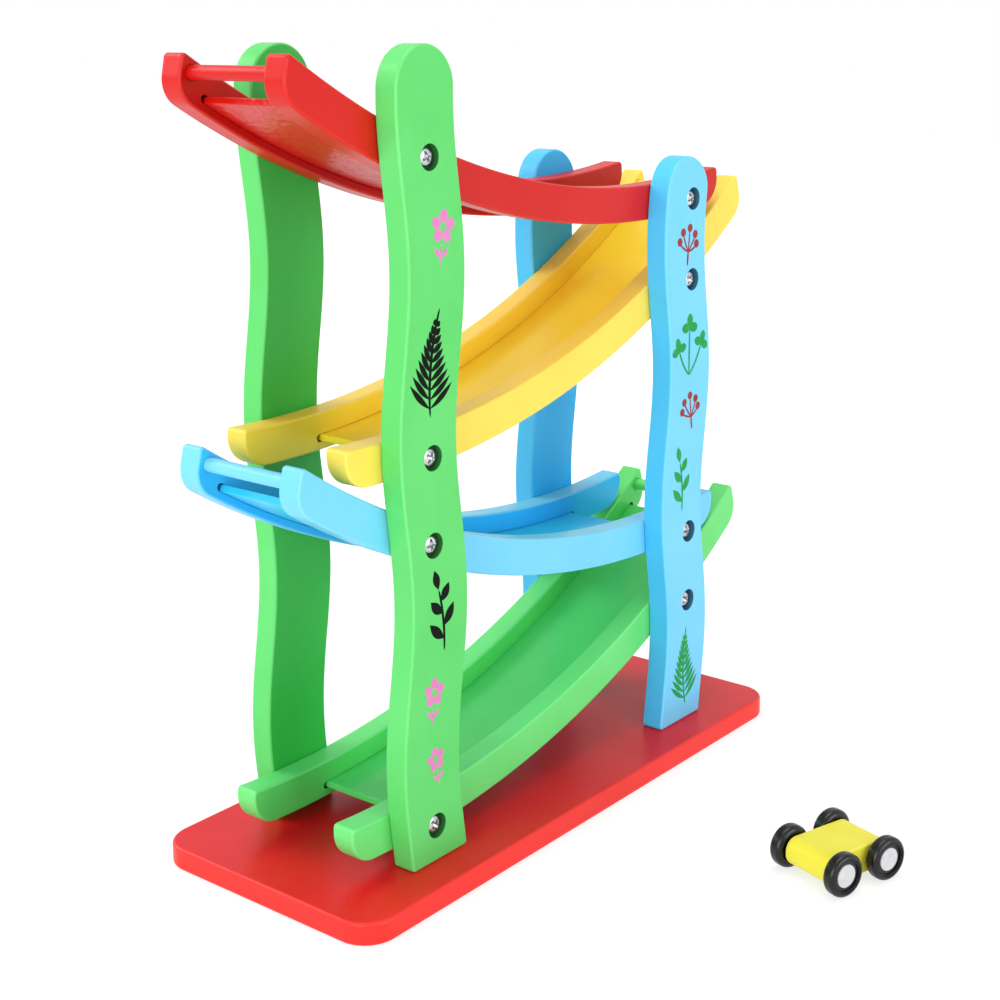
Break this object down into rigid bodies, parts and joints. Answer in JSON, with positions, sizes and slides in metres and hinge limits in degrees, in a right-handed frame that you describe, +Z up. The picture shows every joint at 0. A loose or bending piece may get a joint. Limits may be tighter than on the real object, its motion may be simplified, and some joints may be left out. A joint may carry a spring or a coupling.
{
  "type": "click clack track toy",
  "caption": "Wooden toy of curved ramps that zig-zag between wavy posts on a plate, with a flat flip car that rolls down them.",
  "frame": {"origin": "middle of the base plate's underside, on the surface that the toy stands on", "axes": "+X along the base towards the short posts, +Y across the base away from the car, +Z up"},
  "size_m": [0.2543, 0.2075, 0.28],
  "materials": {
    "red_lacquer": "gloss red lacquer on wood",
    "yellow_lacquer": "gloss yellow lacquer on wood",
    "blue_lacquer": "satin light blue lacquer on wood",
    "green_lacquer": "satin green lacquer on wood",
    "car_lacquer": "satin lemon yellow lacquer on wood",
    "screw_steel": "bright zinc plated steel",
    "axle_steel": "drawn steel wire",
    "tyre_rubber": "black rubber, slightly polished",
    "wheel_plastic": "black moulded plastic",
    "cap_plastic": "light grey moulded plastic"
  },
  "bodies": {
    "track": {"base_plate": "red_lacquer", "tall_post_front": "green_lacquer", "tall_post_back": "green_lacquer", "short_post_front": "blue_lacquer", "short_post_back": "blue_lacquer", "red_rail_front": "red_lacquer", "red_rail_back": "red_lacquer", "red_floor": "red_lacquer", "red_dowel": "red_lacquer", "yellow_rail_front": "yellow_lacquer", "yellow_rail_back": "yellow_lacquer", "yellow_floor": "yellow_lacquer", "yellow_dowel": "yellow_lacquer", "blue_rail_front": "blue_lacquer", "blue_rail_back": "blue_lacquer", "blue_floor": "blue_lacquer", "blue_dowel": "blue_lacquer", "green_rail_front": "green_lacquer", "green_rail_back": "green_lacquer", "green_floor": "green_lacquer", "green_dowel": "green_lacquer", "tall_front_screws": "screw_steel", "tall_back_screws": "screw_steel", "short_front_screws": "screw_steel", "short_back_screws": "screw_steel", "base_screws": "screw_steel"},
    "car": {"car_body": "car_lacquer"},
    "front_wheels": {"front_axle": "axle_steel", "front_left_rim": "wheel_plastic", "front_right_rim": "wheel_plastic", "front_left_tyre": "tyre_rubber", "front_right_tyre": "tyre_rubber", "front_left_cap": "cap_plastic", "front_right_cap": "cap_plastic"},
    "rear_wheels": {"rear_axle": "axle_steel", "rear_left_rim": "wheel_plastic", "rear_right_rim": "wheel_plastic", "rear_left_tyre": "tyre_rubber", "rear_right_tyre": "tyre_rubber", "rear_left_cap": "cap_plastic", "rear_right_cap": "cap_plastic"}
  },
  "joints": [
    {"name": "car_roll", "type": "slide", "parent": "track", "child": "car", "axis": [0.9588, -0.284, 0], "range_m": [-0.05, 0.05]},
    {"name": "front_axle_turn", "type": "hinge", "parent": "car", "child": "front_wheels", "pos_m": [0.02459, -0.14134, 0.0075], "axis": [0.284, 0.9588, 0], "continuous": true},
    {"name": "rear_axle_turn", "type": "hinge", "parent": "car", "child": "rear_wheels", "pos_m": [0.00541, -0.13566, 0.0075], "axis": [0.284, 0.9588, 0], "continuous": true}
  ]
}
